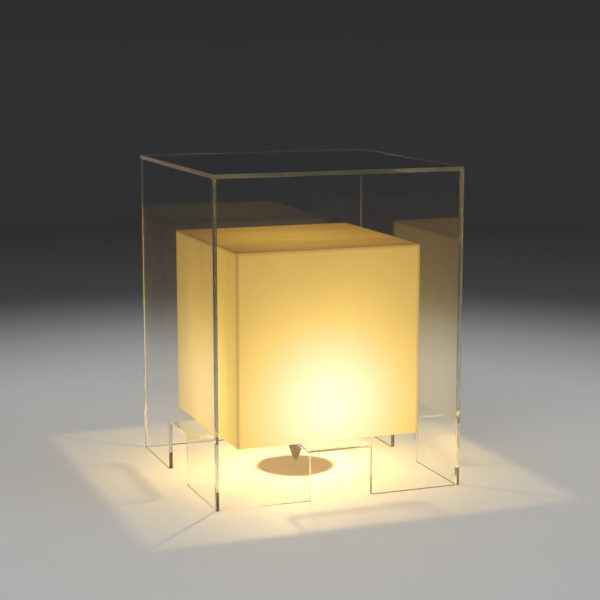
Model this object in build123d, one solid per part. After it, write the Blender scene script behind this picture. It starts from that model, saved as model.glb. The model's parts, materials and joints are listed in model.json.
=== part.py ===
from build123d import *

import os
from math import pi, sqrt

# Side table with a light in it. A clear acrylic hood stands on the floor. A tongue cut from the
# foot of each wall is bent level and carries an opal light box, open below, with a capsule lamp.
# Millimetres. The origin is on the floor under the middle, X to the right, Y to the back, Z up.

# Clear hood
table_width = 400.0
table_depth = 400.0
table_height = 500.0
sheet = 6.0  # clear acrylic
bond_gap = 0.1  # cement film between two bonded faces
arris = 0.5  # flat on a polished outer edge
tongue_width = 100.0
saw_kerf = 0.4  # slit beside a tongue
tongue_underside = 72.0  # height above the floor
bend_radius = 4.0  # inside of the bend

# Opal light box
box_margin = 50.0  # from the hood's outer face to the box
box_height = 300.0
opal = 5.0  # opal acrylic
opal_arris = 0.8

# Clear bar that carries the lamp, front to back in the foot of the box
bar_width = 80.0
bar_sheet = 5.0
bar_recess = 1.0  # bar lies this much above the foot of the box
wire_hole = 10.0

# Round plate under the lampholder, and the screws that clamp it to the bar
plate_inset = 2.5  # plate edge inside the mouth of the cup
plate_sheet = 1.5
clamp_inset = 10.0  # clamp screw axis inside the mouth of the cup
clamp_thread = 4.0
clamp_head = 8.0
clamp_head_height = 2.6
clamp_nut_flats = 7.0
clamp_nut_height = 3.2
clamp_tail = 0.8  # thread past the nut
hole_play = 0.2  # round a screw in a plain hole
thread_play = 0.05  # round a screw in a thread

# Ceramic lampholder for a two-pin capsule lamp
holder_width = 14.0
holder_depth = 20.0
holder_height = 22.0
holder_corner = 3.0
lug_length = 35.0
lug_width = 11.0
lug_height = 8.0
lug_screw_pitch = 27.0
lug_thread = 3.0
lug_head = 5.6
lug_head_height = 2.0
well_length = 4.6
well_width = 3.2
well_floor = 2.0
contact_leaf = 0.3
contact_width = 3.0
contact_height = 13.0
contact_gap = 1.2

# Capsule lamp
pin_pitch = 9.0
pin_wire = 0.8
pin_loop = 2.2  # between the two legs of one pin
pin_length = 14.5
plug_length = 16.0
plug_width = 8.0
plug_depth = 2.5
plug_play = 0.3
plug_floor_gap = 0.5
base_diameter = 18.6
base_height = 13.5
base_edge = 0.8
cover_diameter = 18.0
cover_wall = 1.0
cover_height = 38.0
board_width = 12.0
board_height = 31.0
board_sheet = 1.0
chip_width = 2.8
chip_height = 3.0
chip_depth = 0.7
chip_columns = 2
chip_rows = 6
chip_pitch_across = 5.0
chip_pitch_up = 4.4
chip_start = 4.5  # from the foot of the board to the first row

# Strap inside the cup, with the terminal block and the hollow threaded nipple
strap_sheet = 1.5
strap_width = 12.0
strap_foot = 5.0  # foot past the clamp screw axis
lead_room = 9.0  # bar to the terminal block
block_depth = 12.0
block_height = 12.0
block_play = 0.1
way_pitch = 6.4
way_bore = 3.2
way_screw = 2.7
way_screw_sink = 0.5
way_screw_edge = 3.0  # from the end of the block
block_screw_offset = 3.9
block_screw_bite = 4.0
block_thread = 2.5
block_head = 4.5
block_head_height = 1.6
lead_diameter = 2.2
lead_bite = 5.0  # lead inside the terminal block
wire_room = 5.0  # terminal block to the nipple
nipple_thread = 10.0
nipple_bore = 7.2
nipple_tail = 1.5  # thread past the upper nut
nipple_nut_flats = 14.0
nipple_nut_height = 3.0
nut_play = 0.3  # between a leg of the strap and the upper nut

# Conical cup and cord grip below the bar
cup_mouth = 54.0
cup_end = 16.0
cup_sheet = 1.0
grip_floor_gap = 10.0  # floor to the tip of the cord grip
grip_length = 12.0
grip_tip = 5.8
grip_socket = 4.0  # depth of its thread
cord_bore = 4.4
grip_thread = 2.5
screw_slot = 0.8
screw_slot_depth = 0.9

# Levels and places that follow from the sizes above
seat_z = tongue_underside + sheet
wall_height = table_height - sheet - bond_gap
box_width = table_width - 2 * box_margin
box_depth = table_depth - 2 * box_margin
bar_z = seat_z + bar_recess
plate_z = bar_z + bar_sheet
holder_z = plate_z + plate_sheet
holder_top = holder_z + holder_height
plug_z = holder_top - plug_depth
base_top = holder_top + base_height
cup_floor = grip_floor_gap + grip_length
clamp_x = cup_mouth / 2 - clamp_inset
block_top = bar_z - lead_room
block_z = block_top - block_height
nipple_top = block_z - wire_room
web_top = nipple_top - nipple_tail - nipple_nut_height
web_z = web_top - strap_sheet
strap_inside = nipple_nut_flats + 2 * nut_play
nipple_z = cup_floor - grip_socket
grip_screw_z = (grip_floor_gap + nipple_z) / 2


def slotted_screw(thread, length, head, head_height):
    """A pan screw with its seat at Z 0, its head above and its thread below."""
    screw = Pos(0, 0, head_height / 2) * Cylinder(head / 2, head_height)
    screw += Pos(0, 0, -length / 2) * Cylinder(thread / 2, length)
    slot_z = head_height - screw_slot_depth / 2
    return screw - Pos(0, 0, slot_z) * Box(screw_slot, head, screw_slot_depth)


def hex_nut(flats, height, thread):
    """A nut that stands on Z 0, two of its flats to the left and right."""
    nut = extrude(RegularPolygon(flats / 2, 6, major_radius=False, rotation=30), height)
    return nut - Pos(0, 0, height / 2) * Cylinder(thread / 2 + thread_play, height)


def round_hole(diameter, z, height, x=0, y=0):
    """An upright cylinder to cut a hole with, from z upwards."""
    return Pos(x, y, z + height / 2) * Cylinder(diameter / 2, height)


def top_panel():
    """The table top, bonded on the top edges of the four walls."""
    panel = Pos(0, 0, table_height - sheet / 2) * Box(table_width, table_depth, sheet)
    return chamfer(panel.edges(), arris)


def hood_wall(span, ends_show):
    """One wall with its tongue. The outer face is at Y 0 and the tongue points along +Y."""
    bend_outer = bend_radius + sheet
    bend_z = tongue_underside + bend_outer
    bend_length = pi / 2 * (bend_radius + sheet / 2)
    tongue_end = bend_outer + bend_z - bend_length

    wall = Pos(0, sheet / 2, wall_height / 2) * Box(span, sheet, wall_height)
    wall = chamfer(wall.edges().filter_by(Axis.X).group_by(Axis.Z)[0], arris)
    if ends_show:
        wall = chamfer(wall.edges().filter_by(Axis.Z).group_by(Axis.Y)[0], arris)
    notch_width = tongue_width + 2 * saw_kerf
    wall -= Pos(0, sheet / 2, bend_z / 2) * Box(notch_width, 2 * sheet, bend_z)

    bend_centre = (bend_outer, bend_z)
    outline = [
        CenterArc(bend_centre, bend_outer, 180, 90),
        Line((bend_outer, tongue_underside), (tongue_end, tongue_underside)),
        Line((tongue_end, tongue_underside), (tongue_end, seat_z)),
        Line((tongue_end, seat_z), (bend_outer, seat_z)),
        CenterArc(bend_centre, bend_radius, 180, 90),
        Line((sheet, bend_z), (0, bend_z)),
    ]
    tongue = extrude(Plane.YZ * make_face(outline), tongue_width / 2, both=True)
    return wall + tongue


def mitre_steps():
    """Depth into an opal panel, and how far its mitred edge has drawn in there."""
    retreat = bond_gap / sqrt(2)
    edge = opal_arris / 2
    return ((0, opal_arris), (edge, edge + retreat), (opal, opal + retreat))


def opal_side(width):
    """One upright panel of the light box, outer face at Y 0, mitred at the sides and the top."""
    sections = []
    for depth, inset in mitre_steps():
        height = box_height - inset
        face = Rot(90, 0, 0) * Rectangle(width - 2 * inset, height)
        sections.append(Pos(0, depth, seat_z + height / 2) * face)
    return loft(sections, ruled=True)


def opal_top():
    """The lid of the light box, mitred on all four sides."""
    sections = []
    for depth, inset in mitre_steps():
        face = Rectangle(box_width - 2 * inset, box_depth - 2 * inset)
        sections.append(Pos(0, 0, seat_z + box_height - depth) * face)
    return loft(sections, ruled=True)


def clamp_places():
    """The two clamp screws, left and right of the lampholder."""
    return [(-clamp_x, 0), (clamp_x, 0)]


def lug_places():
    """The two screws in the lampholder's lugs, front and back."""
    return [(0, -lug_screw_pitch / 2), (0, lug_screw_pitch / 2)]


def lamp_bar():
    """The clear bar, its ends bonded to the front and back opal panels."""
    length = box_depth - 2 * opal - 2 * bond_gap
    bar = Pos(0, 0, bar_z + bar_sheet / 2) * Box(bar_width, length, bar_sheet)
    bar -= round_hole(wire_hole, bar_z, bar_sheet)
    for x, y in clamp_places():
        bar -= round_hole(clamp_thread + 2 * hole_play, bar_z, bar_sheet, x, y)
    return bar


def holder_plate():
    """The round steel plate that lies on the bar and carries the lampholder."""
    plate = round_hole(cup_mouth - 2 * plate_inset, plate_z, plate_sheet)
    plate -= round_hole(wire_hole, plate_z, plate_sheet)
    for x, y in clamp_places():
        plate -= round_hole(clamp_thread + 2 * hole_play, plate_z, plate_sheet, x, y)
    for x, y in lug_places():
        plate -= round_hole(lug_thread + 2 * thread_play, plate_z, plate_sheet, x, y)
    return plate


def lampholder():
    """The ceramic lampholder, with a recess for the lamp's plug and a well for each pin."""
    lugs = extrude(Pos(0, 0, holder_z) * SlotOverall(lug_length, lug_width, rotation=90), lug_height)
    block = RectangleRounded(holder_width, holder_depth, holder_corner)
    holder = lugs + extrude(Pos(0, 0, holder_z) * block, holder_height)
    recess_z = plug_z - plug_floor_gap
    recess = SlotOverall(plug_length + 2 * plug_play, plug_width + 2 * plug_play, rotation=90)
    holder -= extrude(Pos(0, 0, recess_z) * recess, holder_top - recess_z)
    well_z = holder_z + well_floor
    for y in (-pin_pitch / 2, pin_pitch / 2):
        well = SlotOverall(well_length, well_width, rotation=90)
        holder -= extrude(Pos(0, y, well_z) * well, recess_z - well_z)
    for x, y in lug_places():
        holder -= round_hole(lug_thread + 2 * hole_play, holder_z, lug_height, x, y)
    return holder


def holder_contacts():
    """A sprung U of two leaves in each well, one leaf on each side of the pin."""
    contacts = []
    foot_z = holder_z + well_floor
    outside = contact_gap + 2 * contact_leaf
    for y in (-pin_pitch / 2, pin_pitch / 2):
        spring = Pos(0, y, foot_z + contact_height / 2) * Box(outside, contact_width, contact_height)
        gap_z = foot_z + contact_leaf + contact_height / 2
        spring -= Pos(0, y, gap_z) * Box(contact_gap, contact_width, contact_height)
        contacts.append(spring)
    return Compound(contacts)


def holder_screws():
    """The two screws through the lugs into the plate."""
    length = lug_height + plate_sheet
    screw = slotted_screw(lug_thread, length, lug_head, lug_head_height)
    return Compound([Pos(x, y, holder_z + lug_height) * screw for x, y in lug_places()])


def clamp_screws():
    """The two screws that hold plate, bar and strap together."""
    length = plate_sheet + bar_sheet + strap_sheet + clamp_nut_height + clamp_tail
    screw = slotted_screw(clamp_thread, length, clamp_head, clamp_head_height)
    return Compound([Pos(x, y, holder_z) * screw for x, y in clamp_places()])


def clamp_nuts():
    """The nuts of the clamp screws, under the feet of the strap."""
    nut = hex_nut(clamp_nut_flats, clamp_nut_height, clamp_thread)
    nut_z = bar_z - strap_sheet - clamp_nut_height
    return Compound([Pos(x, y, nut_z) * nut for x, y in clamp_places()])


def strap_bracket():
    """A bent steel strap: two feet under the bar, two legs, and a web that holds the nipple."""
    outside = strap_inside + 2 * strap_sheet
    span = 2 * (clamp_x + strap_foot)
    feet = Pos(0, 0, bar_z - strap_sheet / 2) * Box(span, strap_width, strap_sheet)
    height = bar_z - web_z
    legs = Pos(0, 0, web_z + height / 2) * Box(outside, strap_width, height)
    strap = feet + legs
    strap -= Pos(0, 0, web_top + height / 2) * Box(strap_inside, strap_width, height)
    strap -= round_hole(nipple_thread + 2 * hole_play, web_z, strap_sheet)
    for x, y in clamp_places():
        strap -= round_hole(clamp_thread + 2 * hole_play, bar_z - strap_sheet, strap_sheet, x, y)
    return strap - block_screw_axis() * Cylinder(block_thread / 2 + hole_play, 3 * strap_sheet)


def block_screw_axis():
    """Where the terminal block's screw comes through the right leg, its head to the right."""
    x = strap_inside / 2 + strap_sheet
    return Pos(x, block_screw_offset, block_z + block_height / 2) * Rot(0, 90, 0)


def block_screw():
    """The screw that holds the terminal block to the strap."""
    length = strap_sheet + block_screw_bite
    return block_screw_axis() * slotted_screw(block_thread, length, block_head, block_head_height)


def way_screw_places():
    """The four terminal screws in the front face of the block: X and Z of each."""
    heights = (block_z + way_screw_edge, block_top - way_screw_edge)
    return [(x, z) for x in (-way_pitch / 2, way_pitch / 2) for z in heights]


def terminal_block():
    """A two-way terminal block between the legs of the strap."""
    width = strap_inside - 2 * block_play
    block = Pos(0, 0, block_z + block_height / 2) * Box(width, block_depth, block_height)
    for x in (-way_pitch / 2, way_pitch / 2):
        block -= round_hole(way_bore, block_z, block_height, x)
    for x, z in way_screw_places():
        shaft = Cylinder(way_screw / 2 + thread_play, block_depth / 2)
        block -= Pos(x, -block_depth / 4, z) * Rot(90, 0, 0) * shaft
    screw_length = 2 * (strap_sheet + block_screw_bite)
    return block - block_screw_axis() * Cylinder(block_thread / 2 + thread_play, screw_length)


def terminal_screws():
    """Headless slotted screws, sunk in the face of the block down to the wire ways."""
    length = block_depth / 2 - way_bore / 2 - way_screw_sink
    screw = Cylinder(way_screw / 2, length)
    screw -= Pos(0, 0, length / 2) * Box(way_screw, screw_slot, screw_slot_depth)
    y = -block_depth / 2 + way_screw_sink + length / 2
    return Compound([Pos(x, y, z) * Rot(90, 0, 0) * screw for x, z in way_screw_places()])


def lamp_leads():
    """The two leads from the lampholder down into the terminal block."""
    foot = block_top - lead_bite
    leads = []
    for x in (-way_pitch / 2, way_pitch / 2):
        leads.append(round_hole(lead_diameter, foot, holder_z - foot, x))
    return Compound(leads)


def threaded_nipple():
    """The hollow threaded tube from the strap down into the cord grip."""
    height = nipple_top - nipple_z
    return round_hole(nipple_thread, nipple_z, height) - round_hole(nipple_bore, nipple_z, height)


def nipple_nuts():
    """One nut above the web of the strap and one below it."""
    nut = hex_nut(nipple_nut_flats, nipple_nut_height, nipple_thread)
    return Compound([Pos(0, 0, web_z - nipple_nut_height) * nut, Pos(0, 0, web_top) * nut])


def lamp_cup():
    """The polished cone that hides the wiring, from the bar down to the cord grip."""
    slope = (cup_mouth - cup_end) / 2 / (bar_z - cup_floor)
    hole = nipple_thread / 2 + hole_play
    end_inside = cup_end / 2 + slope * cup_sheet - cup_sheet
    profile = Polyline(
        (cup_mouth / 2, bar_z),
        (cup_end / 2, cup_floor),
        (hole, cup_floor),
        (hole, cup_floor + cup_sheet),
        (end_inside, cup_floor + cup_sheet),
        (cup_mouth / 2 - cup_sheet, bar_z),
        close=True,
    )
    return revolve(Plane.XZ * make_face(profile), Axis.Z)


def grip_screw_axis():
    """Across the cord bore, the screw's outer end to the front."""
    return Pos(0, 0, grip_screw_z) * Rot(90, 0, 0)


def cord_grip():
    """The tapered end piece, screwed on the nipple, where the supply cord comes in."""
    profile = Polyline(
        (cup_end / 2, cup_floor),
        (grip_tip / 2, grip_floor_gap),
        (cord_bore / 2, grip_floor_gap),
        (cord_bore / 2, nipple_z),
        (nipple_thread / 2 + thread_play, nipple_z),
        (nipple_thread / 2 + thread_play, cup_floor),
        close=True,
    )
    grip = revolve(Plane.XZ * make_face(profile), Axis.Z)
    shaft = Cylinder(grip_thread / 2 + thread_play, cup_end / 2)
    return grip - grip_screw_axis() * Pos(0, 0, cup_end / 4) * shaft


def grip_screw():
    """The headless screw that holds the cord in its grip."""
    taper = (cup_end - grip_tip) / 2 / grip_length
    lowest = grip_screw_z - grip_thread / 2 - grip_floor_gap
    length = grip_tip / 2 + taper * lowest - cord_bore / 2
    screw = Cylinder(grip_thread / 2, length)
    screw -= Pos(0, 0, length / 2) * Box(grip_thread, screw_slot, screw_slot_depth)
    return grip_screw_axis() * Pos(0, 0, cord_bore / 2 + length / 2) * screw


def lamp_base():
    """The lamp's plastic base: a round collar over a flat plug."""
    collar = round_hole(base_diameter, holder_top, base_height)
    collar = chamfer(collar.edges().group_by(Axis.Z)[-1], base_edge)
    return collar + extrude(Pos(0, 0, plug_z) * SlotOverall(plug_length, plug_width, rotation=90), plug_depth)


def lamp_pins():
    """Two pins, each a wire bent to a narrow loop."""
    turn = pin_loop / 2
    turn_z = plug_z - pin_length + pin_wire / 2 + turn
    pins = []
    for y in (-pin_pitch / 2, pin_pitch / 2):
        down = Line((0, y - turn, plug_z), (0, y - turn, turn_z))
        bend = ThreePointArc((0, y - turn, turn_z), (0, y, turn_z - turn), (0, y + turn, turn_z))
        up = Line((0, y + turn, turn_z), (0, y + turn, plug_z))
        section = Pos(0, y - turn, plug_z) * Circle(pin_wire / 2)
        pins.append(sweep(section, path=Wire([down, bend, up])))
    return Compound(pins)


def led_board():
    """The upright circuit board that carries the light-emitting chips, its faces to front and back."""
    return Pos(0, 0, base_top + board_height / 2) * Box(board_width, board_sheet, board_height)


def led_chips():
    """The chips, in rows on both faces of the board."""
    chips = []
    y = (board_sheet + chip_depth) / 2
    for side in (-y, y):
        for column in range(chip_columns):
            x = (column - (chip_columns - 1) / 2) * chip_pitch_across
            for row in range(chip_rows):
                z = base_top + chip_start + row * chip_pitch_up
                chips.append(Pos(x, side, z) * Box(chip_width, chip_depth, chip_height))
    return Compound(chips)


def lamp_cover():
    """The clear cover over the board, a tube with a round end."""
    outside = cover_diameter / 2
    inside = outside - cover_wall
    dome_z = base_top + cover_height - outside
    outline = [
        Line((inside, base_top), (outside, base_top)),
        Line((outside, base_top), (outside, dome_z)),
        CenterArc((0, dome_z), outside, 0, 90),
        Line((0, dome_z + outside), (0, dome_z + inside)),
        CenterArc((0, dome_z), inside, 0, 90),
        Line((inside, dome_z), (inside, base_top)),
    ]
    return revolve(Plane.XZ * make_face(outline), Axis.Z)


def all_parts():
    """Every piece at its place, under its name."""
    front = Pos(0, -table_depth / 2, 0)
    back = Pos(0, table_depth / 2, 0) * Rot(0, 0, 180)
    left = Pos(-table_width / 2, 0, 0) * Rot(0, 0, -90)
    right = Pos(table_width / 2, 0, 0) * Rot(0, 0, 90)
    inward = Pos(0, box_margin, 0)
    side_span = table_depth - 2 * sheet - 2 * bond_gap
    return {
        "top_panel": top_panel(),
        "front_wall": front * hood_wall(table_width, True),
        "back_wall": back * hood_wall(table_width, True),
        "left_wall": left * hood_wall(side_span, False),
        "right_wall": right * hood_wall(side_span, False),
        "diffuser_top": opal_top(),
        "diffuser_front": front * inward * opal_side(box_width),
        "diffuser_back": back * inward * opal_side(box_width),
        "diffuser_left": left * inward * opal_side(box_depth),
        "diffuser_right": right * inward * opal_side(box_depth),
        "lamp_bar": lamp_bar(),
        "holder_plate": holder_plate(),
        "lampholder": lampholder(),
        "holder_contacts": holder_contacts(),
        "holder_screws": holder_screws(),
        "clamp_screws": clamp_screws(),
        "clamp_nuts": clamp_nuts(),
        "strap_bracket": strap_bracket(),
        "terminal_block": terminal_block(),
        "terminal_screws": terminal_screws(),
        "block_screw": block_screw(),
        "lamp_leads": lamp_leads(),
        "threaded_nipple": threaded_nipple(),
        "nipple_nuts": nipple_nuts(),
        "lamp_cup": lamp_cup(),
        "cord_grip": cord_grip(),
        "grip_screw": grip_screw(),
        "lamp_base": lamp_base(),
        "lamp_pins": lamp_pins(),
        "led_board": led_board(),
        "led_chips": led_chips(),
        "lamp_cover": lamp_cover(),
    }


os.makedirs("parts", exist_ok=True)
for name, piece in all_parts().items():
    export_step(piece, f"parts/{name}.step")
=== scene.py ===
"""LED side table: a clear acrylic hood standing over a glowing opal light box.

The packed solids are the frame. The sheets of the hood, the panels of the box, the lamp's cup and
its cover are modelled again here, with smooth bends and broken edges. Every other solid keeps its
shape and gets its finish. Sizes are in metres, in the frame of the solids: +Z up, -Y to the front.
"""

import json
import math

import bmesh
import bpy
from bpy.props import FloatProperty, FloatVectorProperty, IntProperty, PointerProperty
from mathutils import Matrix, Vector

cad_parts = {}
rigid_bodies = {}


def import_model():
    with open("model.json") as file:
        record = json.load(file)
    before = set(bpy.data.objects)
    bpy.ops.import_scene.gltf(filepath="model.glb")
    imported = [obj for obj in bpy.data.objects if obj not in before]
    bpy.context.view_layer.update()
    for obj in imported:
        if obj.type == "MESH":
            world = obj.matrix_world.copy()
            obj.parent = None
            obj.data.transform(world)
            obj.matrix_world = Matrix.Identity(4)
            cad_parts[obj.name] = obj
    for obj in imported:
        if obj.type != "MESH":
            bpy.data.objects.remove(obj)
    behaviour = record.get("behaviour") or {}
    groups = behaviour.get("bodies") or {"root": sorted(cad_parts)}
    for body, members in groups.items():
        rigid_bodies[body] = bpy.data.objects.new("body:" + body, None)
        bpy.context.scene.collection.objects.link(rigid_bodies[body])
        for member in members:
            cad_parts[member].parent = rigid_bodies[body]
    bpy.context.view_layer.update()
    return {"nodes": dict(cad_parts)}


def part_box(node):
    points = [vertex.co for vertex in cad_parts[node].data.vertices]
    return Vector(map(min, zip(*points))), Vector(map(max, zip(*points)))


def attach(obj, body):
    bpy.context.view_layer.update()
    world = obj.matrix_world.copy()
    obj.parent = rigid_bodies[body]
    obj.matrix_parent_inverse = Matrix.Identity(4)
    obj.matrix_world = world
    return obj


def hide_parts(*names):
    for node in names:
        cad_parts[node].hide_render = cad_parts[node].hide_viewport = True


bl_info = {
    "name": "LED side table",
    "version": (1, 0, 0),
    "blender": (4, 5, 0),
    "location": "View3D > Sidebar > Side table",
    "description": "Dresses the solids of a lit acrylic side table",
    "category": "Object",
}

# The cube, light and camera of a new file make way for the table
for extra in list(bpy.data.objects):
    bpy.data.objects.remove(extra)
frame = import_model()

# Places of the solids that are modelled again
WALL_LOW, WALL_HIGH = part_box("front_wall")
FLANK_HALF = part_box("left_wall")[1].y
TOP_LOW, TOP_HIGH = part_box("top_panel")
LID_LOW, LID_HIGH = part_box("diffuser_top")
BOX_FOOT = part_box("diffuser_front")[0].z
BOX_HALF_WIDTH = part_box("diffuser_right")[1].x
BOX_HALF_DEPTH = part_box("diffuser_back")[1].y
CUP_LOW, CUP_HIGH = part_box("lamp_cup")
COVER_LOW, COVER_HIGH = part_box("lamp_cover")
CHIPS_LOW, CHIPS_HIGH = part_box("led_chips")
LAMP = (CHIPS_LOW + CHIPS_HIGH) / 2

QUARTER = math.pi / 2
SIDES = ("front", "right", "back", "left")
# Two places nearer to each other than this are the same
TINY = 1e-6
# A sheet's corners, a cup's edges and the breaks in a turned skin's shading are sharper than these
CORNER = math.radians(60.0)
CUP_EDGE = math.radians(30.0)
SKIN_BREAK = math.radians(40.0)

# Levels of light that the glow colours are given for, where the front's brightest spot gets one
FAR, MIDDLE, NEAR = 0.0, 0.4, 1.0
LID_FAR, LID_NEAR = 0.15, 0.4
# Streaks in the opal run along the axis with the small number
UPRIGHT = (1.0, 1.0, 0.35)
SIDEWAYS = (0.3, 1.0, 1.0)

# Light that enters a cut edge crosses the sheet this often before it leaves the far edge
SHEET_BOUNCES = 96
# A lamp's light goes on through this many clear faces
CLEAR_FACES = 32


def length(name, description, default):
    """A size in metres."""
    return FloatProperty(name=name, description=description, default=default, min=0.0,
                         unit="LENGTH", precision=4)


def spot(name, description, default):
    """A place in the frame of the solids."""
    return FloatVectorProperty(name=name, description=description, default=default, size=3,
                               subtype="TRANSLATION", unit="LENGTH")


def angle(name, description, default):
    """A turn in radians."""
    return FloatProperty(name=name, description=description, default=default,
                         subtype="ANGLE", unit="ROTATION")


def count(name, description, default, least=1):
    """A number of flats or steps."""
    return IntProperty(name=name, description=description, default=default, min=least)


def share(name, description, default):
    """A bare factor."""
    return FloatProperty(name=name, description=description, default=default, min=0.0, soft_max=1.0)


def watts(name, description, default):
    """The power of a light."""
    return FloatProperty(name=name, description=description, default=default, min=0.0, unit="POWER")


def colour(name, description, default):
    """A colour as it is written in a shader, linear red, green and blue."""
    return FloatVectorProperty(name=name, description=description, default=default, size=3, min=0.0,
                               soft_max=1.0, subtype="COLOR")


class HoodSettings(bpy.types.PropertyGroup):
    """The clear hood."""

    sheet: length("Sheet", "Thickness of the clear sheet", TOP_HIGH.z - TOP_LOW.z)
    tongue_width: length("Tongue width", "Width of the tongue bent out of each wall", 0.1)
    slit: length("Slit", "Saw cut beside a tongue", 0.0004)
    seat: length("Seat", "Height of the tongues' upper faces", BOX_FOOT)
    bend: length("Bend", "Inside radius of a tongue's bend", 0.004)
    bend_steps: count("Bend steps", "Flats round a bend", 20, least=4)
    top_arris: length("Top arris", "Radius of the table top's broken edges", 0.0005)
    wall_arris: length("Wall arris", "Radius of the walls' broken edges", 0.00035)
    arris_steps: count("Arris steps", "Flats round a broken edge", 3)
    clear: colour("Clear", "Colour of the polished sheet", (0.985, 0.995, 0.99))
    index: FloatProperty(name="Index", description="Refractive index of acrylic", default=1.49, min=1.0)
    depth: colour("Depth", "What a long way through the sheet lets through", (0.66, 0.67, 0.60))
    density: FloatProperty(name="Density", description="How fast the sheet takes light, per metre",
                           default=1.2, min=0.0)
    face_pass: colour("Face pass", "Lamp light that goes on through a face", (0.96, 0.965, 0.96))
    edge_pass: colour("Edge pass", "Lamp light that goes on through a cut edge", (0.60, 0.58, 0.52))
    edge_wave: length("Edge wave", "Depth of the ripple in a cut edge", 0.00003)
    # The cut edges are painted with a glow that stands for lamp light carried inside the sheet and let out
    # at its edges
    painted_edge_light: colour("Edge light", "Lamp light that comes out of the cut edges", (1.0, 0.74, 0.32))
    top_edge_glow: share("Top edge glow", "How bright that light leaves the table top", 0.04)
    wall_edge_glow: share("Wall edge glow", "How bright it leaves the walls", 0.008)


class BoxSettings(bpy.types.PropertyGroup):
    """The opal light box."""

    opal: length("Opal", "Thickness of the opal panels", LID_HIGH.z - LID_LOW.z)
    bond: length("Bond", "Cement film in a mitre", 0.0001)
    arris: length("Arris", "Radius of the mitred corners", 0.0008)
    arris_steps: count("Arris steps", "Flats round a mitred corner", 4)
    body: colour("Body", "Colour of the opal by day", (0.26, 0.17, 0.045))
    # The inner faces are a dimmed copy of the opal: a darker day colour and a share of the painted glow,
    # so that less light falls from them onto the floor under the box
    inside: colour("Inside", "Colour of the inner faces by day", (0.13, 0.085, 0.025))
    # The glow colours are painted light: they stand for the lamp's light coming out through the opal,
    # brighter nearer the lamp
    glow_far: colour("Far glow", "Glow of the sides far from the lamp", (0.37, 0.19, 0.04))
    glow_middle: colour("Middle glow", "Glow of the front and back part of the way", (0.99, 0.655, 0.17))
    glow_near: colour("Near glow", "Glow of the front and back nearest to the lamp", (1.7, 1.16, 0.74))
    flank_middle: colour("Flank middle glow", "Glow of the flanks part of the way", (0.99, 0.655, 0.125))
    flank_near: colour("Flank near glow", "Glow of the flanks nearest to the lamp", (1.62, 1.04, 0.30))
    flank_share: share("Flank share", "Light to the left and right against the front", 0.67)
    # The lid's painted glow is set lower than its distance from the lamp alone gives, as painted shade for
    # how dim the lid looks seen at a slant
    lid_far: colour("Lid far glow", "Glow of the lid at its corners", (0.12, 0.025, 0.0))
    lid_near: colour("Lid near glow", "Glow of the lid over the lamp", (0.44, 0.24, 0.025))
    inside_share: share("Inside share", "Glow of the inner faces against the outer", 0.7)
    seam_core: length("Seam core", "How far from a mitre its band is darkest", 0.0015)
    seam_reach: length("Seam reach", "How far from a mitre its band ends", 0.006)
    seam_shade: share("Seam shade", "Glow left in that band", 0.74)
    corner_reach: length("Corner reach", "How far from a corner its fine line ends", 0.00128)
    corner_shade: share("Corner shade", "Glow left in that line", 0.8)
    front_streak: share("Front streak", "How much streaks change the front and back", 0.03)
    flank_streak: share("Flank streak", "How much streaks change the flanks", 0.07)
    lid_streak: share("Lid streak", "How much streaks change the lid", 0.12)
    grain: length("Grain", "Depth of the opal's fine grain", 0.00002)


class LampSettings(bpy.types.PropertyGroup):
    """The lamp unit under and in the box."""

    cup_sheet: length("Cup sheet", "Wall of the spun cup", 0.001)
    cup_end: length("Cup end", "Radius of the cup's lower end", 0.008)
    cup_hole: length("Cup hole", "Radius of the hole in its floor", 0.0052)
    rim: length("Rim", "How far the rolled rim stands proud", 0.0007)
    rim_height: length("Rim height", "Height of the rolled rim", 0.0021)
    cup_arris: length("Cup arris", "Radius of the cup's broken edges", 0.0004)
    cup_arris_steps: count("Cup arris steps", "Flats round such an edge", 3)
    ring_depth: length("Ring depth", "Depth of the fine rings that spinning leaves", 0.000004)
    cover_wall: length("Cover wall", "Wall of the clear cover", 0.001)
    dome_steps: count("Dome steps", "Flats from the cover's shoulder to its crown", 16)
    turns: count("Turns", "Flats round a turned piece", 96, least=12)
    nickel: colour("Nickel", "Polished cup and cord grip", (0.60, 0.585, 0.55))
    steel: colour("Steel", "Plated plate, strap, screws and nuts", (0.62, 0.62, 0.60))
    brass: colour("Brass", "Contacts and terminal screws", (0.72, 0.52, 0.24))
    ceramic: colour("Ceramic", "Lampholder", (0.84, 0.82, 0.76))
    plastic: colour("Plastic", "Terminal block and lamp base", (0.82, 0.82, 0.78))
    sleeve: colour("Sleeve", "Leads", (0.74, 0.71, 0.63))
    board: colour("Board", "Circuit board", (0.84, 0.84, 0.81))
    phosphor: colour("Phosphor", "Chips", (0.95, 0.74, 0.28))
    phosphor_glow: FloatProperty(name="Phosphor glow", description="How bright the chips are",
                                 default=3.0, min=0.0)
    light: colour("Light", "Light of the lamp", (1.0, 0.70, 0.28))
    light_power: watts("Light power", "Power of the lamp in the scene", 5.5)
    light_radius: length("Light radius", "Radius of the ball that gives this light", 0.0045)


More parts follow.
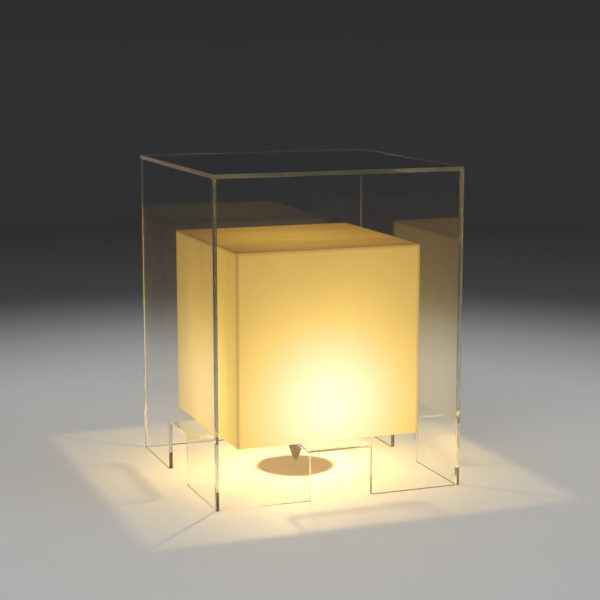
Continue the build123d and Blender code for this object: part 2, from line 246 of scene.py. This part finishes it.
class StageSettings(bpy.types.PropertyGroup):
    """Floor, lights and camera."""

    floor: colour("Floor", "Colour of the floor round the table", (0.54, 0.54, 0.53))
    wall: colour("Wall", "Colour of the backdrop and of the far floor", (0.09, 0.09, 0.094))
    pale: length("Pale", "How far from the table the floor is at its palest", 0.7)
    dark: length("Dark", "How far from the table the floor is as dark as the backdrop", 1.9)
    floor_rough: share("Floor roughness", "Roughness of the floor", 0.7)
    floor_gloss: share("Floor gloss", "Specular level of the floor", 0.2)
    floor_gap: length("Floor gap", "Floor below the foot of the hood", 0.0003)
    radius: length("Radius", "Flat floor round the table", 3.2)
    cove: length("Cove", "Radius of the curve from floor to backdrop", 1.0)
    cove_steps: count("Cove steps", "Flats up that curve", 16)
    height: length("Height", "Height of the backdrop", 3.0)
    turns: count("Turns", "Flats round the floor", 96, least=12)
    overhead: spot("Overhead", "Place of the overhead light", (0.0, 0.3, 2.7))
    overhead_aim: length("Overhead aim", "Height of the spot it is turned to", 0.0)
    overhead_size: length("Overhead size", "Side of the overhead light", 2.2)
    overhead_power: watts("Overhead power", "Power of the overhead light", 32.0)
    key: spot("Key", "Place of the key light", (-2.0, -2.0, 1.9))
    key_aim: length("Key aim", "Height of the spot it is turned to", 0.25)
    key_size: length("Key size", "Side of the key light", 1.5)
    key_power: watts("Key power", "Power of the key light", 30.0)
    fill: spot("Fill", "Place of the fill light", (2.4, -1.2, 1.5))
    fill_aim: length("Fill aim", "Height of the spot it is turned to", 0.25)
    fill_size: length("Fill size", "Side of the fill light", 1.6)
    fill_power: watts("Fill power", "Power of the fill light", 18.0)
    air: colour("Air", "Colour of the light from all sides", (0.62, 0.63, 0.65))
    air_strength: share("Air strength", "Strength of the light from all sides", 0.45)
    camera: spot("Camera", "Place of the camera", (-0.8802, -2.3447, 0.6986))
    camera_pitch: angle("Camera pitch", "How far the camera looks down", 0.1676)
    camera_turn: angle("Camera turn", "How far the camera looks to the right", 0.3623)
    lens: FloatProperty(name="Lens", description="Focal length in millimetres", default=94.35,
                        unit="CAMERA")


SETTINGS = {
    "side_table_hood": HoodSettings,
    "side_table_box": BoxSettings,
    "side_table_lamp": LampSettings,
    "side_table_stage": StageSettings,
}


def plug(tree, node, inputs):
    """Fills a node's inputs: sockets are linked, other values are set."""
    for name, value in inputs.items():
        if isinstance(value, bpy.types.NodeSocket):
            tree.links.new(value, node.inputs[name])
        else:
            node.inputs[name].default_value = value


def add(tree, kind, inputs, **settings):
    """A new shader node with its settings and inputs."""
    node = tree.nodes.new(kind)
    for name, value in settings.items():
        setattr(node, name, value)
    plug(tree, node, inputs)
    return node


def maths(tree, operation, *values):
    """The result of one sum on sockets or numbers."""
    return add(tree, "ShaderNodeMath", dict(enumerate(values)), operation=operation).outputs[0]


def new_material(name):
    """A node material with its tree, its Principled shader and the piece's own coordinates."""
    material = bpy.data.materials.new(name)
    material.use_nodes = True
    tree = material.node_tree
    place = tree.nodes.new("ShaderNodeTexCoord").outputs["Object"]
    return material, tree, tree.nodes["Principled BSDF"], place


def mottle(tree, place, scale, span, stretch=(1.0, 1.0, 1.0), detail=3.0):
    """A soft uneven value within a span. Scale counts its patches to the metre."""
    spread = add(tree, "ShaderNodeMapping", {"Vector": place, "Scale": stretch})
    noise = add(tree, "ShaderNodeTexNoise",
                {"Vector": spread.outputs[0], "Scale": scale, "Detail": detail})
    usual_low, usual_high = 0.25, 0.75
    low, high = span
    return add(tree, "ShaderNodeMapRange",
               {"Value": noise.outputs["Fac"], "From Min": usual_low, "From Max": usual_high,
                "To Min": low, "To Max": high}).outputs[0]


def tinted(tree, rgb, factor):
    """A colour made lighter or darker by a socket."""
    return add(tree, "ShaderNodeVectorMath", {0: rgb, "Scale": factor}, operation="SCALE").outputs[0]


def bumped(tree, height, depth):
    """A normal for a surface whose height socket runs over depth metres."""
    return add(tree, "ShaderNodeBump", {"Height": height, "Distance": depth, "Strength": 1.0}).outputs[0]


def clear_material(name, hood, rough, passed, wave=0.0, edge_glow=0.0):
    """Clear acrylic. A lamp's light passes a face nearly whole, but a cut edge throws part of it aside.

    A cut edge also lets out, in streaks, the light that the sheet carries inside it.
    """
    material, tree, shader, place = new_material(name)
    plug(tree, shader, {
        "Base Color": tinted(tree, hood.clear, mottle(tree, place, scale=9.0, span=(0.985, 1.0))),
        "Roughness": mottle(tree, place, scale=23.0, span=rough),
        "IOR": hood.index,
        "Transmission Weight": 1.0,
    })
    if wave:
        ripple = mottle(tree, place, scale=260.0, span=(0.0, 1.0), detail=2.0)
        plug(tree, shader, {"Normal": bumped(tree, ripple, wave)})
    # Painted glow in streaks on the cut edges, standing for lamp light carried inside the sheet
    if edge_glow:
        streaks = mottle(tree, place, scale=11.0, span=(0.0, 2.0))
        plug(tree, shader, {
            "Emission Color": tinted(tree, hood.painted_edge_light, streaks),
            "Emission Strength": edge_glow,
        })
    passing = add(tree, "ShaderNodeBsdfTransparent", {"Color": (*passed, 1.0)})
    rays = tree.nodes.new("ShaderNodeLightPath").outputs
    lamp_ray = maths(tree, "MAXIMUM", rays["Is Shadow Ray"], rays["Is Diffuse Ray"])
    shown = add(tree, "ShaderNodeMixShader", {0: lamp_ray, 1: shader.outputs[0], 2: passing.outputs[0]})
    depth = add(tree, "ShaderNodeVolumeAbsorption", {"Color": (*hood.depth, 1.0), "Density": hood.density})
    plug(tree, tree.nodes["Material Output"], {"Surface": shown.outputs[0], "Volume": depth.outputs[0]})
    return material


def clear_faces(hood):
    """The polished faces of every clear sheet, made once."""
    name = "clear_sheet"
    made = bpy.data.materials.get(name)
    return made or clear_material(name, hood, rough=(0.0, 0.015), passed=hood.face_pass)


def clear_edges(name, hood, glow):
    """The cut edges of a clear sheet."""
    return clear_material(name, hood, rough=(0.0, 0.03), passed=hood.edge_pass, wave=hood.edge_wave,
                          edge_glow=glow)


def glow_ramp(tree, level, stops):
    """The colour for a level of light and the strength to show it at.

    The colours at the stops may be brighter than white, so the ramp holds shares of the strength.
    """
    strength = max(max(rgb) for rgb in stops.values())
    ramp = add(tree, "ShaderNodeValToRGB", {"Fac": level})
    steps = ramp.color_ramp.elements
    steps.remove(steps[0])
    steps[0].position = max(stops)
    for stop in sorted(stops)[:-1]:
        steps.new(stop)
    for step, stop in zip(steps, sorted(stops)):
        step.color = [part / strength for part in stops[stop]] + [1.0]
    return ramp.outputs["Color"], strength


def mitre_shade(tree, place, box):
    """One over most of a panel, and less in a band along its mitres and in a fine line on the corner."""
    at = add(tree, "ShaderNodeSeparateXYZ", {0: place}).outputs
    from_x = maths(tree, "SUBTRACT", BOX_HALF_WIDTH, maths(tree, "ABSOLUTE", at["X"]))
    from_y = maths(tree, "SUBTRACT", BOX_HALF_DEPTH, maths(tree, "ABSOLUTE", at["Y"]))
    from_top = maths(tree, "SUBTRACT", LID_HIGH.z, at["Z"])
    lower = maths(tree, "MINIMUM", from_x, from_y)
    upper = maths(tree, "MAXIMUM", from_x, from_y)
    # The least of the three leads to the panel's own face, the second to its nearest mitre
    from_mitre = maths(tree, "MAXIMUM", lower, maths(tree, "MINIMUM", upper, from_top))
    band = add(tree, "ShaderNodeMapRange",
               {"Value": from_mitre, "From Min": box.seam_core, "From Max": box.seam_reach,
                "To Min": box.seam_shade, "To Max": 1.0}, interpolation_type="SMOOTHSTEP").outputs[0]
    line = add(tree, "ShaderNodeMapRange",
               {"Value": from_mitre, "From Min": 0.0, "From Max": box.corner_reach,
                "To Min": box.corner_shade, "To Max": 1.0}).outputs[0]
    return maths(tree, "MULTIPLY", band, line)


def opal_material(name, box, body, distance, stops, streak, stretch=UPRIGHT):
    """Opal acrylic that glows by the light on it, with faint streaks and shaded mitres.

    The light falls with the square of the reach from the lamp, and with its slant, which is the
    panel's distance from the lamp over that reach.
    """
    material, tree, shader, place = new_material(name)
    away = add(tree, "ShaderNodeVectorMath", {0: place, 1: LAMP}, operation="SUBTRACT").outputs[0]
    reach = add(tree, "ShaderNodeVectorMath", {0: away}, operation="LENGTH").outputs["Value"]
    full = BOX_HALF_DEPTH * BOX_HALF_DEPTH * distance
    level = maths(tree, "DIVIDE", full, maths(tree, "POWER", reach, 3.0))
    glow, strength = glow_ramp(tree, level, stops)
    streaks = mottle(tree, place, scale=16.0, span=(1.0 - streak, 1.0 + streak), stretch=stretch,
                     detail=4.0)
    shade = maths(tree, "MULTIPLY", mitre_shade(tree, place, box), streaks)
    grain = mottle(tree, place, scale=900.0, span=(0.0, 1.0))
    plug(tree, shader, {
        "Base Color": tinted(tree, body, shade),
        "Emission Color": tinted(tree, glow, shade),
        "Emission Strength": strength,
        "Roughness": mottle(tree, place, scale=60.0, span=(0.36, 0.44)),
        "Specular IOR Level": 0.35,
        "Normal": bumped(tree, grain, box.grain),
    })
    return material


def metal_material(name, rgb, rough, ring_depth=0.0):
    """Plated or bare metal. Spun and turned pieces have fine rings round their axis."""
    material, tree, shader, place = new_material(name)
    plug(tree, shader, {
        "Base Color": tinted(tree, rgb, mottle(tree, place, scale=120.0, span=(0.92, 1.04))),
        "Roughness": mottle(tree, place, scale=340.0, span=rough),
        "Metallic": 1.0,
    })
    if ring_depth:
        rings = add(tree, "ShaderNodeTexWave", {"Vector": place, "Scale": 320.0, "Distortion": 0.6},
                    wave_type="BANDS", bands_direction="Z").outputs["Fac"]
        plug(tree, shader, {"Normal": bumped(tree, rings, ring_depth)})
    return material


def dull_material(name, rgb, rough, grain_scale, grain_depth):
    """Ceramic, moulded plastic, sleeve or board, with a fine grain."""
    material, tree, shader, place = new_material(name)
    grain = mottle(tree, place, scale=grain_scale, span=(0.0, 1.0))
    plug(tree, shader, {
        "Base Color": tinted(tree, rgb, mottle(tree, place, scale=90.0, span=(0.94, 1.03))),
        "Roughness": mottle(tree, place, scale=400.0, span=rough),
        "Normal": bumped(tree, grain, grain_depth),
    })
    return material


def phosphor_material(name, lamp):
    """Lit phosphor gel on the chips."""
    material, tree, shader, place = new_material(name)
    uneven = mottle(tree, place, scale=700.0, span=(0.85, 1.0))
    plug(tree, shader, {
        "Base Color": tinted(tree, lamp.phosphor, uneven),
        "Emission Color": tinted(tree, lamp.light, uneven),
        "Emission Strength": lamp.phosphor_glow,
        "Roughness": 0.3,
    })
    return material


def floor_material(stage):
    """Floor that is pale round the table and as dark as the backdrop further out."""
    material, tree, shader, place = new_material("studio_floor")
    reach = add(tree, "ShaderNodeVectorMath", {0: place}, operation="LENGTH").outputs["Value"]
    fade = add(tree, "ShaderNodeMapRange",
               {"Value": reach, "From Min": stage.pale, "From Max": stage.dark},
               interpolation_type="SMOOTHSTEP").outputs[0]
    # The colour inputs and output of a mix node share their names with others, so they go by number
    paint = add(tree, "ShaderNodeMix", {0: fade, 6: (*stage.floor, 1.0), 7: (*stage.wall, 1.0)},
                data_type="RGBA").outputs[2]
    plug(tree, shader, {
        "Base Color": tinted(tree, paint, mottle(tree, place, scale=3.0, span=(0.99, 1.01))),
        "Roughness": stage.floor_rough,
        "Specular IOR Level": stage.floor_gloss,
    })
    return material


def dress(material, *nodes):
    """Gives solids that keep their shape their finish."""
    for name in nodes:
        for slot in frame["nodes"][name].material_slots:
            slot.material = material


def new_object(bm, name, materials):
    """An object from a finished bmesh."""
    mesh = bpy.data.meshes.new(name)
    bm.to_mesh(mesh)
    bm.free()
    for material in materials:
        mesh.materials.append(material)
    made = bpy.data.objects.new(name, mesh)
    bpy.context.scene.collection.objects.link(made)
    return made


def new_piece(bm, name, body, materials, node):
    """A finished piece: it rides on a body and stands for a solid."""
    piece = new_object(bm, name, materials)
    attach(piece, body)
    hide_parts(node)
    return piece


def verts_of(geometry):
    """The vertices among an operator's results."""
    return [part for part in geometry if isinstance(part, bmesh.types.BMVert)]


def face_at(bm, place):
    """The face whose middle is nearest to a place."""
    return min(bm.faces, key=lambda face: (face.calc_center_median() - Vector(place)).length)


def block(low, high):
    """A box between two corners."""
    bm = bmesh.new()
    bmesh.ops.create_cube(bm, size=1.0)
    bmesh.ops.scale(bm, verts=bm.verts, vec=high - low)
    bmesh.ops.translate(bm, verts=bm.verts, vec=(high + low) / 2)
    return bm


def break_edges(bm, edges, radius, steps):
    """Rounds edges with smooth narrow strips, and leaves the flats beside them flat."""
    made = bmesh.ops.bevel(bm, geom=edges, offset=radius, offset_type="OFFSET", affect="EDGES",
                           segments=steps, profile=0.5, material=-1, clamp_overlap=True)
    for face in made["faces"]:
        face.smooth = True


def cut_away(bm, place, normal):
    """Takes off what lies beyond a plane and closes the cut."""
    cut = bmesh.ops.bisect_plane(bm, geom=bm.verts[:] + bm.edges[:] + bm.faces[:], plane_co=place,
                                 plane_no=normal, clear_outer=True, dist=TINY / 10)
    rim = [part for part in cut["geom_cut"] if isinstance(part, bmesh.types.BMEdge)]
    bmesh.ops.edgeloop_fill(bm, edges=rim)


def turn_to_side(bm, turn):
    """Turns a piece from the front to its own side, by so many quarters."""
    bmesh.ops.rotate(bm, verts=bm.verts, cent=(0.0, 0.0, 0.0),
                     matrix=Matrix.Rotation(turn * QUARTER, 3, "Z"))


def turned(bm, steps):
    """Spins the profile in a bmesh round the lamp's axis into a closed smooth skin."""
    bmesh.ops.spin(bm, geom=bm.verts[:] + bm.edges[:], cent=(0.0, 0.0, 0.0), axis=(0.0, 0.0, 1.0),
                   angle=2 * math.pi, steps=steps, use_merge=True)
    bmesh.ops.remove_doubles(bm, verts=bm.verts, dist=TINY)
    bmesh.ops.recalc_face_normals(bm, faces=bm.faces)
    for face in bm.faces:
        face.smooth = True


def wall_mesh(half_width, hood):
    """One wall in the front wall's place: a notched sheet whose tab is bent in as a tongue."""
    bm = bmesh.new()
    front = WALL_LOW.y
    height = WALL_HIGH.z
    half_tongue = hood.tongue_width / 2
    half_notch = half_tongue + hood.slit
    bend_outer = hood.bend + hood.sheet
    bend_z = hood.seat - hood.sheet + bend_outer
    outline = (
        (-half_width, 0.0), (-half_notch, 0.0), (-half_notch, bend_z), (-half_tongue, bend_z),
        (half_tongue, bend_z), (half_notch, bend_z), (half_notch, 0.0), (half_width, 0.0),
        (half_width, height), (-half_width, height),
    )
    face = bm.faces.new([bm.verts.new((x, front, z)) for x, z in outline])
    inner = bmesh.ops.extrude_face_region(bm, geom=[face])["geom"]
    bmesh.ops.translate(bm, verts=verts_of(inner), vec=(0.0, hood.sheet, 0.0))

    tab = face_at(bm, (0.0, front + hood.sheet / 2, bend_z))
    bmesh.ops.spin(bm, geom=[tab, *tab.edges, *tab.verts], cent=(0.0, front + bend_outer, bend_z),
                   axis=(1.0, 0.0, 0.0), angle=QUARTER, steps=hood.bend_steps)
    end = face_at(bm, (0.0, front + bend_outer, hood.seat - hood.sheet / 2))
    tip = bmesh.ops.extrude_face_region(bm, geom=[end, *end.edges, *end.verts])["geom"]
    bmesh.ops.translate(bm, verts=verts_of(tip), vec=(0.0, WALL_HIGH.y - front - bend_outer, 0.0))
    bmesh.ops.recalc_face_normals(bm, faces=bm.faces)

    # Faces with a side as long as the sheet is thick are cut edges, and slanting ones belong to the bend
    for face in bm.faces:
        face.material_index = int(any(abs(edge.calc_length() - hood.sheet) < TINY for edge in face.edges))
        face.smooth = max(abs(part) for part in face.normal) < 1.0 - TINY
    # The end under the table top is cemented, and a slit's blind end stays as it was sawn
    sharp = [edge for edge in bm.edges
             if edge.calc_face_angle(0.0) > CORNER
             and min(vert.co.z for vert in edge.verts) < height - TINY
             and not all(abs(vert.co.z - bend_z) < TINY for vert in edge.verts)]
    break_edges(bm, sharp, hood.wall_arris, hood.arris_steps)
    return bm


class SIDETABLE_OT_hood_walls(bpy.types.Operator):
    """Makes the four clear walls with their bent tongues"""

    bl_idname = "side_table.hood_walls"
    bl_label = "Hood walls"

    def execute(self, context):
        hood = context.scene.side_table_hood
        materials = (clear_faces(hood), clear_edges("clear_wall_edge", hood, hood.wall_edge_glow))
        for turn, side in enumerate(SIDES):
            bm = wall_mesh(FLANK_HALF if turn % 2 else WALL_HIGH.x, hood)
            turn_to_side(bm, turn)
            new_piece(bm, f"hood_{side}", "hood", materials, f"{side}_wall")
        return {"FINISHED"}


class SIDETABLE_OT_hood_top(bpy.types.Operator):
    """Makes the clear table top with its broken edges"""

    bl_idname = "side_table.hood_top"
    bl_label = "Hood top"

    def execute(self, context):
        hood = context.scene.side_table_hood
        materials = (clear_faces(hood), clear_edges("clear_top_edge", hood, hood.top_edge_glow))
        bm = block(TOP_LOW, TOP_HIGH)
        # The upright faces are the sheet's cut edges
        for face in bm.faces:
            face.material_index = int(abs(face.normal.z) < 0.5)
        break_edges(bm, bm.edges[:], hood.top_arris, hood.arris_steps)
        new_piece(bm, "hood_top", "hood", materials, "top_panel")
        return {"FINISHED"}


def rounded_box(half_width, half_depth, box):
    """The outside of the light box as one block, with rounded corners, in a panel's own turn."""
    bm = block(Vector((-half_width, -half_depth, BOX_FOOT)), Vector((half_width, half_depth, LID_HIGH.z)))
    shown = [edge for edge in bm.edges if max(vert.co.z for vert in edge.verts) > LID_HIGH.z - TINY]
    break_edges(bm, shown, box.arris, box.arris_steps)
    return bm


def panel_mesh(across, out, box):
    """One side of the box in the front panel's place, cut out of the block along its mitres."""
    bm = rounded_box(across, out, box)
    drawn_in = box.bond / math.sqrt(2.0)
    cut_away(bm, (0.0, box.opal - out, 0.0), (0.0, 1.0, 0.0))
    cut_away(bm, (drawn_in - across, -out, 0.0), (-1.0, 1.0, 0.0))
    cut_away(bm, (across - drawn_in, -out, 0.0), (1.0, 1.0, 0.0))
    cut_away(bm, (0.0, -out, LID_HIGH.z - drawn_in), (0.0, 1.0, 1.0))
    bmesh.ops.recalc_face_normals(bm, faces=bm.faces)
    face_at(bm, (0.0, box.opal - out, (BOX_FOOT + LID_HIGH.z) / 2)).material_index = 1
    return bm


def lid_mesh(box):
    """The lid, cut out of the block along its four mitres."""
    bm = rounded_box(BOX_HALF_WIDTH, BOX_HALF_DEPTH, box)
    drawn_in = box.bond / math.sqrt(2.0)
    top = LID_HIGH.z
    cut_away(bm, (0.0, 0.0, top - box.opal), (0.0, 0.0, -1.0))
    cut_away(bm, (drawn_in - BOX_HALF_WIDTH, 0.0, top), (-1.0, 0.0, -1.0))
    cut_away(bm, (BOX_HALF_WIDTH - drawn_in, 0.0, top), (1.0, 0.0, -1.0))
    cut_away(bm, (0.0, drawn_in - BOX_HALF_DEPTH, top), (0.0, -1.0, -1.0))
    cut_away(bm, (0.0, BOX_HALF_DEPTH - drawn_in, top), (0.0, 1.0, -1.0))
    bmesh.ops.recalc_face_normals(bm, faces=bm.faces)
    face_at(bm, (0.0, 0.0, top - box.opal)).material_index = 1
    return bm


class SIDETABLE_OT_light_box(bpy.types.Operator):
    """Makes the five mitred opal panels and dresses the clear bar between them"""

    bl_idname = "side_table.light_box"
    bl_label = "Light box"

    def execute(self, context):
        box = context.scene.side_table_box
        glow = {FAR: box.glow_far, MIDDLE: box.glow_middle, NEAR: box.glow_near}
        flank_glow = {FAR: box.glow_far, MIDDLE: box.flank_middle, NEAR: box.flank_near}
        lid_glow = {LID_FAR: box.lid_far, LID_NEAR: box.lid_near}
        # The inner faces take only a share of the painted glow, a dimmed copy of the outer faces
        inner_glow = {level: [box.inside_share * part for part in rgb] for level, rgb in glow.items()}
        front_opal = opal_material("opal_front", box, box.body, BOX_HALF_DEPTH, glow, box.front_streak)
        flank_opal = opal_material("opal_flank", box, box.body, BOX_HALF_WIDTH * box.flank_share,
                                   flank_glow, box.flank_streak)
        lid_opal = opal_material("opal_lid", box, box.body, LID_HIGH.z - LAMP.z, lid_glow, box.lid_streak,
                                 SIDEWAYS)
        inner_opal = opal_material("opal_inside", box, box.inside, BOX_HALF_DEPTH, inner_glow,
                                   box.front_streak)

        for turn, side in enumerate(SIDES):
            if turn % 2:
                outer_opal = flank_opal
                bm = panel_mesh(BOX_HALF_DEPTH, BOX_HALF_WIDTH, box)
            else:
                outer_opal = front_opal
                bm = panel_mesh(BOX_HALF_WIDTH, BOX_HALF_DEPTH, box)
            turn_to_side(bm, turn)
            new_piece(bm, f"box_{side}", "light_box", (outer_opal, inner_opal),
                      f"diffuser_{side}")
        new_piece(lid_mesh(box), "box_lid", "light_box", (lid_opal, inner_opal),
                  "diffuser_top")
        dress(clear_faces(context.scene.side_table_hood), "lamp_bar")
        return {"FINISHED"}


def cup_mesh(lamp):
    """The spun cup: a cone with a rolled rim at its mouth and a hole in its floor."""
    mouth = CUP_HIGH.x
    foot, head = CUP_LOW.z, CUP_HIGH.z
    floor = foot + lamp.cup_sheet
    slope = (mouth - lamp.cup_end) / (head - foot)
    rim_foot = head - lamp.rim_height
    outline = (
        (lamp.cup_hole, foot),
        (lamp.cup_end, foot),
        (mouth - slope * lamp.rim_height, rim_foot),
        (mouth + lamp.rim, rim_foot),
        (mouth + lamp.rim, head),
        (mouth - lamp.cup_sheet, head),
        (lamp.cup_end + slope * lamp.cup_sheet - lamp.cup_sheet, floor),
        (lamp.cup_hole, floor),
    )
    bm = bmesh.new()
    ring = [bm.verts.new((radius, 0.0, z)) for radius, z in outline]
    for start, end in zip(ring, ring[1:] + ring[:1]):
        bm.edges.new((start, end))
    turned(bm, lamp.turns)
    sharp = [edge for edge in bm.edges if edge.calc_face_angle(0.0) > CUP_EDGE]
    break_edges(bm, sharp, lamp.cup_arris, lamp.cup_arris_steps)
    return bm


class SIDETABLE_OT_lamp_cup(bpy.types.Operator):
    """Makes the spun cup with its rolled rim and dresses the cord grip below it"""

    bl_idname = "side_table.lamp_cup"
    bl_label = "Lamp cup"

    def execute(self, context):
        lamp = context.scene.side_table_lamp
        nickel = metal_material("polished_nickel", lamp.nickel, rough=(0.03, 0.09),
                                ring_depth=lamp.ring_depth)
        cup = new_piece(cup_mesh(lamp), "cup_shell", "light_box", (nickel,), "lamp_cup")
        cup.data.set_sharp_from_angle(angle=SKIN_BREAK)
        dress(nickel, "cord_grip")
        return {"FINISHED"}


class SIDETABLE_OT_fittings(bpy.types.Operator):
    """Dresses the lampholder, the plate, the strap, the terminal block, the leads and the fasteners"""

    bl_idname = "side_table.fittings"
    bl_label = "Fittings"

    def execute(self, context):
        lamp = context.scene.side_table_lamp
        steel = metal_material("plated_steel", lamp.steel, rough=(0.24, 0.38))
        brass = metal_material("bare_brass", lamp.brass, rough=(0.22, 0.4))
        ceramic = dull_material("white_ceramic", lamp.ceramic, rough=(0.55, 0.7), grain_scale=900.0,
                                grain_depth=0.00005)
        plastic = dull_material("moulded_plastic", lamp.plastic, rough=(0.38, 0.5), grain_scale=1600.0,
                                grain_depth=0.00002)
        sleeve = dull_material("silicone_sleeve", lamp.sleeve, rough=(0.5, 0.65), grain_scale=1200.0,
                               grain_depth=0.00003)
        dress(steel, "holder_plate", "strap_bracket", "clamp_screws", "clamp_nuts", "holder_screws",
              "block_screw", "nipple_nuts", "threaded_nipple", "grip_screw", "lamp_pins")
        dress(brass, "holder_contacts", "terminal_screws")
        dress(ceramic, "lampholder")
        dress(plastic, "terminal_block", "lamp_base")
        dress(sleeve, "lamp_leads")
        return {"FINISHED"}


def cover_mesh(lamp):
    """The lamp's clear cover: a thin tube, open below, with a domed end."""
    outside = COVER_HIGH.x
    dome_z = COVER_HIGH.z - outside
    bm = bmesh.new()
    feet = []
    for radius in (outside, outside - lamp.cover_wall):
        foot = bm.verts.new((radius, 0.0, COVER_LOW.z))
        shoulder = bm.verts.new((radius, 0.0, dome_z))
        bm.edges.new((foot, shoulder))
        bmesh.ops.spin(bm, geom=[shoulder], cent=(0.0, 0.0, dome_z), axis=(0.0, 1.0, 0.0), angle=-QUARTER,
                       steps=lamp.dome_steps)
        feet.append(foot)
    bm.edges.new(feet)
    turned(bm, lamp.turns)
    return bm


class SIDETABLE_OT_led_lamp(bpy.types.Operator):
    """Makes the lamp's clear cover, dresses its board and chips, and lights it"""

    bl_idname = "side_table.led_lamp"
    bl_label = "LED lamp"

    def execute(self, context):
        lamp = context.scene.side_table_lamp
        hood = context.scene.side_table_hood
        clear = clear_material("clear_cover", hood, rough=(0.02, 0.08), passed=hood.face_pass)
        cover = new_piece(cover_mesh(lamp), "capsule_cover", "led_lamp", (clear,),
                          "lamp_cover")
        cover.data.set_sharp_from_angle(angle=SKIN_BREAK)
        solder_mask = dull_material("solder_mask", lamp.board, rough=(0.35, 0.45), grain_scale=2000.0,
                                    grain_depth=0.00001)
        dress(solder_mask, "led_board")
        dress(phosphor_material("lit_phosphor", lamp), "led_chips")

        glow = bpy.data.lights.new("lamp_glow", "POINT")
        glow.energy = lamp.light_power
        glow.color = lamp.light
        glow.shadow_soft_size = lamp.light_radius
        bulb = bpy.data.objects.new("lamp_glow", glow)
        bulb.location = LAMP
        context.scene.collection.objects.link(bulb)
        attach(bulb, "led_lamp")
        # The light stands for what the lit chips give off, so the lamp itself casts no shadow in it
        cover.visible_shadow = False
        for name in ("lamp_base", "led_board", "led_chips"):
            frame["nodes"][name].visible_shadow = False
        return {"FINISHED"}


def floor_mesh(stage):
    """A round floor that curves up into a backdrop, its faces turned to the table."""
    bm = bmesh.new()
    middle = bm.verts.new((0.0, 0.0, -stage.floor_gap))
    edge = bm.verts.new((stage.radius, 0.0, -stage.floor_gap))
    bm.edges.new((middle, edge))
    cove = bmesh.ops.spin(bm, geom=[edge], cent=(stage.radius, 0.0, stage.cove), axis=(0.0, 1.0, 0.0),
                          angle=-QUARTER, steps=stage.cove_steps)
    rim = bmesh.ops.extrude_vert_indiv(bm, verts=verts_of(cove["geom_last"]))["verts"]
    bmesh.ops.translate(bm, verts=rim, vec=(0.0, 0.0, stage.height - stage.cove))
    turned(bm, stage.turns)
    bmesh.ops.reverse_faces(bm, faces=bm.faces)
    return bm


def soft_light(scene, name, place, aim, size, power):
    """A square studio light turned to a spot over the middle of the floor."""
    light = bpy.data.lights.new(name, "AREA")
    light.size = size
    light.energy = power
    lamp = bpy.data.objects.new(name, light)
    lamp.location = place
    lamp.rotation_euler = (Vector((0.0, 0.0, aim)) - Vector(place)).to_track_quat("-Z", "Y").to_euler()
    # A softbox would show as a hard white patch in the polished sheets
    lamp.visible_glossy = False
    lamp.visible_transmission = False
    scene.collection.objects.link(lamp)


def set_camera(scene, stage):
    """The camera at the photograph's viewing angle."""
    camera = bpy.data.cameras.new("camera")
    camera.lens = stage.lens
    viewer = bpy.data.objects.new("camera", camera)
    viewer.location = stage.camera
    viewer.rotation_euler = (QUARTER - stage.camera_pitch, 0.0, -stage.camera_turn)
    scene.collection.objects.link(viewer)
    scene.camera = viewer


class SIDETABLE_OT_stage(bpy.types.Operator):
    """Sets the floor and backdrop, the studio lights and the camera"""

    bl_idname = "side_table.stage"
    bl_label = "Stage"

    def execute(self, context):
        scene = context.scene
        stage = scene.side_table_stage
        floor = new_object(floor_mesh(stage), "studio_floor", (floor_material(stage),))
        for name in ("overhead", "key", "fill"):
            soft_light(scene, name, getattr(stage, name), getattr(stage, f"{name}_aim"),
                       getattr(stage, f"{name}_size"), getattr(stage, f"{name}_power"))
        scene.world = bpy.data.worlds.new("studio_air")
        scene.world.use_nodes = True
        plug(scene.world.node_tree, scene.world.node_tree.nodes["Background"],
             {"Color": (*stage.air, 1.0), "Strength": stage.air_strength})
        set_camera(scene, stage)
        scene.view_settings.view_transform = "Standard"
        scene.cycles.use_light_tree = False
        scene.cycles.max_bounces = SHEET_BOUNCES
        scene.cycles.glossy_bounces = SHEET_BOUNCES
        scene.cycles.transmission_bounces = SHEET_BOUNCES
        scene.cycles.transparent_max_bounces = CLEAR_FACES
        return {"FINISHED"}


STEPS = (
    SIDETABLE_OT_hood_walls,
    SIDETABLE_OT_hood_top,
    SIDETABLE_OT_light_box,
    SIDETABLE_OT_lamp_cup,
    SIDETABLE_OT_fittings,
    SIDETABLE_OT_led_lamp,
    SIDETABLE_OT_stage,
)


class SIDETABLE_PT_build(bpy.types.Panel):
    """The side table's steps and settings"""

    bl_idname = "SIDETABLE_PT_build"
    bl_label = "Side table"
    bl_space_type = "VIEW_3D"
    bl_region_type = "UI"
    bl_category = "Side table"

    def draw(self, context):
        for step in STEPS:
            self.layout.operator(step.bl_idname)
        for name, group in SETTINGS.items():
            column = self.layout.column(heading=group.__doc__)
            for field in group.__annotations__:
                column.prop(getattr(context.scene, name), field)


def register():
    """Adds the settings, the steps and the panel."""
    for name, group in SETTINGS.items():
        bpy.utils.register_class(group)
        setattr(bpy.types.Scene, name, PointerProperty(type=group))
    for step in STEPS:
        bpy.utils.register_class(step)
    bpy.utils.register_class(SIDETABLE_PT_build)


def unregister():
    """Takes them away again."""
    bpy.utils.unregister_class(SIDETABLE_PT_build)
    for step in reversed(STEPS):
        bpy.utils.unregister_class(step)
    for name, group in reversed(SETTINGS.items()):
        delattr(bpy.types.Scene, name)
        bpy.utils.unregister_class(group)


def main():
    """Builds the pieces in order and writes both boxes for comparison."""
    register()
    bpy.ops.side_table.hood_walls()
    bpy.ops.side_table.hood_top()
    bpy.ops.side_table.light_box()
    bpy.ops.side_table.lamp_cup()
    bpy.ops.side_table.fittings()
    bpy.ops.side_table.led_lamp()
    bpy.ops.side_table.stage()


if __name__ == "__main__":
    main()
